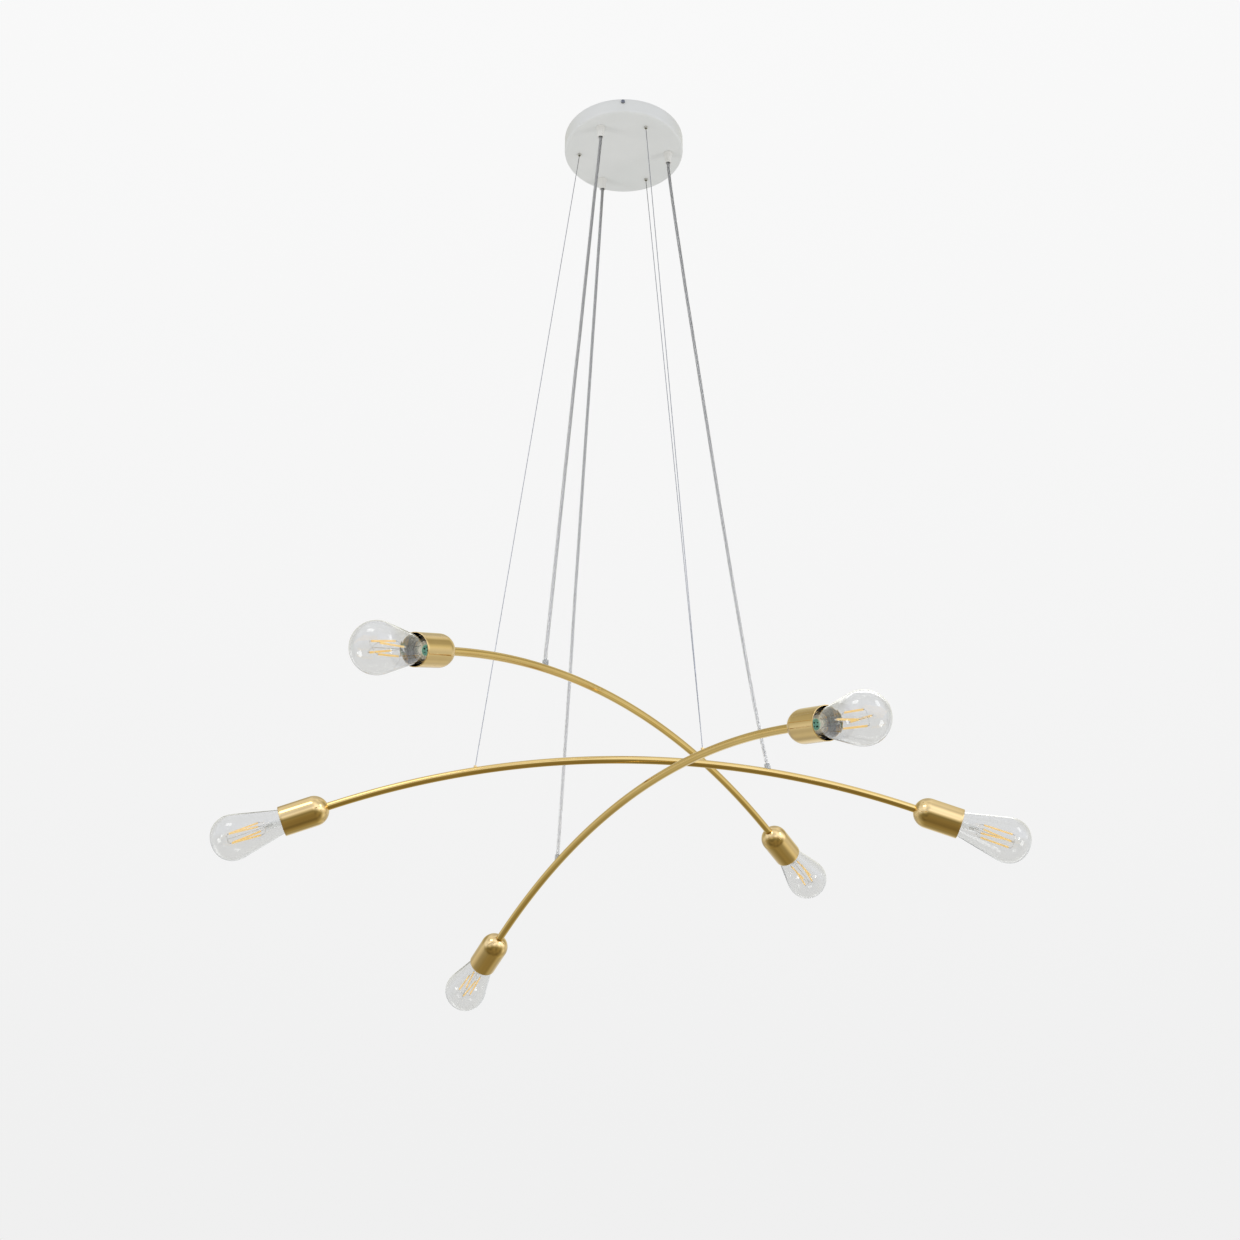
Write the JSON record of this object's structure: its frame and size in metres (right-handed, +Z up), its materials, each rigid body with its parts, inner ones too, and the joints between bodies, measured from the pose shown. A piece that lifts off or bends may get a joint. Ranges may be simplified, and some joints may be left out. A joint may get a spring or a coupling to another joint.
{
  "type": "multi arm chandelier",
  "caption": "Modern chandelier of arched brass tubes crossing at staggered heights, each hung from a round white ceiling canopy by a cord and a thin wire, with bare bulbs at the tube ends.",
  "frame": {"origin": "centre of the canopy on the ceiling plane", "axes": "+Z up into the ceiling; the middle arm lies almost along X, and -Y is the side that faces the viewer"},
  "size_m": [1.1358, 0.9891, 1.3771],
  "materials": {
    "white_enamel": "semi-matt white powder coat",
    "zinc_steel": "zinc plated",
    "ivory_nylon": "matt moulded nylon",
    "white_nylon": "semi-gloss moulded nylon",
    "clear_nylon": "translucent moulded nylon",
    "contact_brass": "plain",
    "lead_insulation": "soft insulation",
    "nickel": "bright nickel plate",
    "clear_cord": "clear jacket over a tinned core",
    "steel_rope": "fine stranded rope",
    "polished_brass": "polished",
    "satin_brass": "satin to polished",
    "black_phenolic": "moulded",
    "clear_glass": "clear",
    "filament_phosphor": "phosphor coat"
  },
  "bodies": {
    "canopy": {"canopy_shell": "white_enamel", "ceiling_bracket": "zinc_steel", "canopy_screws": "zinc_steel", "terminal_block": "ivory_nylon", "wiring_screws": "contact_brass", "canopy_leads": "lead_insulation", "cord_grip_nuts": "white_nylon", "wire_grippers": "nickel", "cord_grip_top": "white_nylon", "cord_grip_middle": "white_nylon", "cord_grip_bottom": "white_nylon"},
    "arm_top": {"power_cord_top": "clear_cord", "steel_wire_top": "steel_rope", "cord_grommet_top": "clear_nylon", "wire_anchor_top": "satin_brass", "arm_tube_top": "polished_brass", "arm_leads_top": "lead_insulation", "lampholders_top": "black_phenolic", "screw_shells_top": "contact_brass", "socket_cover_top_left": "satin_brass", "socket_cover_top_right": "satin_brass"},
    "arm_middle": {"power_cord_middle": "clear_cord", "steel_wire_middle": "steel_rope", "cord_grommet_middle": "clear_nylon", "wire_anchor_middle": "satin_brass", "arm_tube_middle": "polished_brass", "arm_leads_middle": "lead_insulation", "lampholders_middle": "black_phenolic", "screw_shells_middle": "contact_brass", "socket_cover_middle_left": "satin_brass", "socket_cover_middle_right": "satin_brass"},
    "arm_bottom": {"power_cord_bottom": "clear_cord", "steel_wire_bottom": "steel_rope", "cord_grommet_bottom": "clear_nylon", "wire_anchor_bottom": "satin_brass", "arm_tube_bottom": "polished_brass", "arm_leads_bottom": "lead_insulation", "lampholders_bottom": "black_phenolic", "screw_shells_bottom": "contact_brass", "socket_cover_bottom_left": "satin_brass", "socket_cover_bottom_right": "satin_brass"},
    "bulb_top_left": {"bulb_glass_top_left": "clear_glass", "bulb_base_top_left": "nickel", "bulb_filaments_top_left": "filament_phosphor"},
    "bulb_top_right": {"bulb_glass_top_right": "clear_glass", "bulb_base_top_right": "nickel", "bulb_filaments_top_right": "filament_phosphor"},
    "bulb_middle_left": {"bulb_glass_middle_left": "clear_glass", "bulb_base_middle_left": "nickel", "bulb_filaments_middle_left": "filament_phosphor"},
    "bulb_middle_right": {"bulb_glass_middle_right": "clear_glass", "bulb_base_middle_right": "nickel", "bulb_filaments_middle_right": "filament_phosphor"},
    "bulb_bottom_left": {"bulb_glass_bottom_left": "clear_glass", "bulb_base_bottom_left": "nickel", "bulb_filaments_bottom_left": "filament_phosphor"},
    "bulb_bottom_right": {"bulb_glass_bottom_right": "clear_glass", "bulb_base_bottom_right": "nickel", "bulb_filaments_bottom_right": "filament_phosphor"}
  },
  "joints": [
    {"name": "height_top", "type": "slide", "parent": "canopy", "child": "arm_top", "axis": [0, 0, 1], "range_m": [-0.02, 0.4], "deforming": ["power_cord_top", "steel_wire_top"]},
    {"name": "height_middle", "type": "slide", "parent": "canopy", "child": "arm_middle", "axis": [0, 0, 1], "range_m": [-0.02, 0.03], "deforming": ["power_cord_middle", "steel_wire_middle"]},
    {"name": "height_bottom", "type": "slide", "parent": "canopy", "child": "arm_bottom", "axis": [0, 0, 1], "range_m": [-0.2, 0.02], "deforming": ["power_cord_bottom", "steel_wire_bottom"]},
    {"name": "unscrew_top_left", "type": "slide", "parent": "arm_top", "child": "bulb_top_left", "axis": [-0.5093, -0.7995, -0.3183], "range_m": [0, 0.06]},
    {"name": "unscrew_top_right", "type": "slide", "parent": "arm_top", "child": "bulb_top_right", "axis": [0.5031, 0.7897, -0.3512], "range_m": [0, 0.06]},
    {"name": "unscrew_middle_left", "type": "slide", "parent": "arm_middle", "child": "bulb_middle_left", "axis": [-0.942, -0.0247, -0.3348], "range_m": [0, 0.06]},
    {"name": "unscrew_middle_right", "type": "slide", "parent": "arm_middle", "child": "bulb_middle_right", "axis": [0.942, 0.0247, -0.3348], "range_m": [0, 0.06]},
    {"name": "unscrew_bottom_left", "type": "slide", "parent": "arm_bottom", "child": "bulb_bottom_left", "axis": [-0.4529, 0.7845, -0.4236], "range_m": [0, 0.06]},
    {"name": "unscrew_bottom_right", "type": "slide", "parent": "arm_bottom", "child": "bulb_bottom_right", "axis": [0.485, -0.8401, -0.2429], "range_m": [0, 0.06]}
  ]
}
